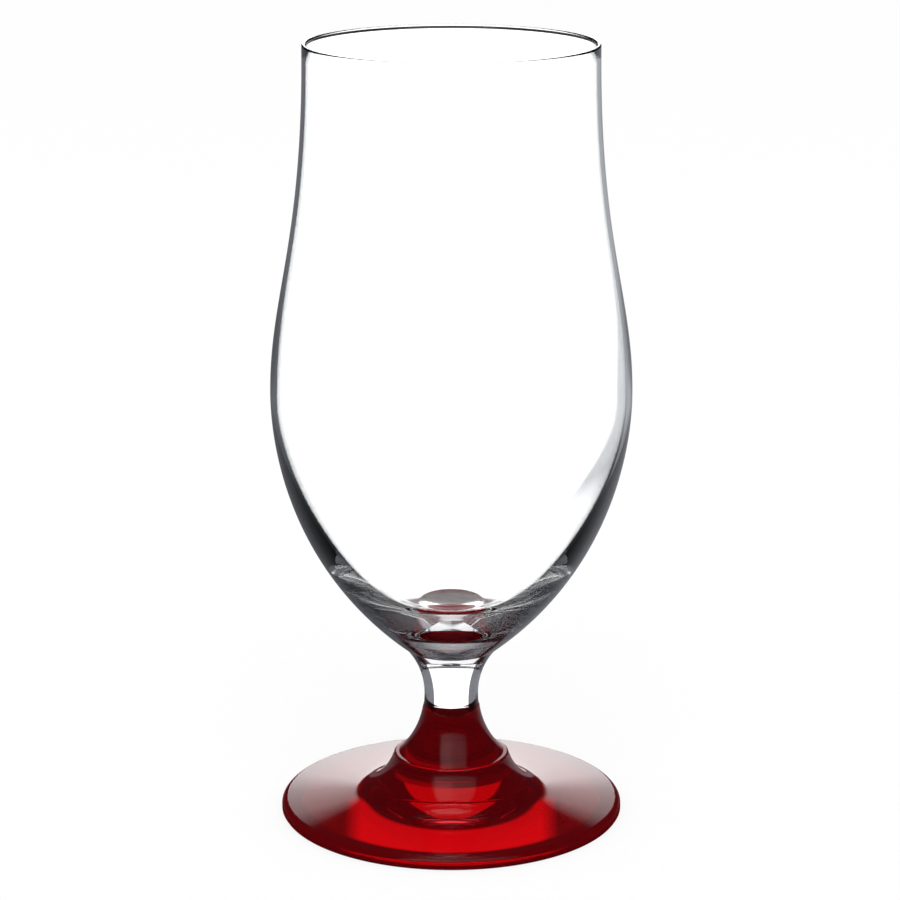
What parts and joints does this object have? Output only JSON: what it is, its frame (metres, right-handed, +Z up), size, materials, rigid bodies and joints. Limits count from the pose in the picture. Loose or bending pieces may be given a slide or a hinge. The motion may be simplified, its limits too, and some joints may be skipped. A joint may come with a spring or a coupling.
{
  "type": "beer glass",
  "caption": "Footed tulip beer glass: clear bulging bowl with a rounded rim on a short solid stem, with a red translucent colour film over the foot and lower stem.",
  "frame": {"origin": "centre of the face the glass stands on, under its axis", "axes": "+Z up the axis of the glass, from the foot to the rim; X and Y are equal because the glass is round"},
  "size_m": [0.0822, 0.0822, 0.18],
  "materials": {
    "clear_glass": "polished clear soda-lime glass",
    "red_film": "glossy translucent red lacquer"
  },
  "bodies": {
    "root": {"bowl": "clear_glass", "stem": "clear_glass", "foot": "clear_glass", "colour_coat": "red_film"}
  },
  "joints": []
}
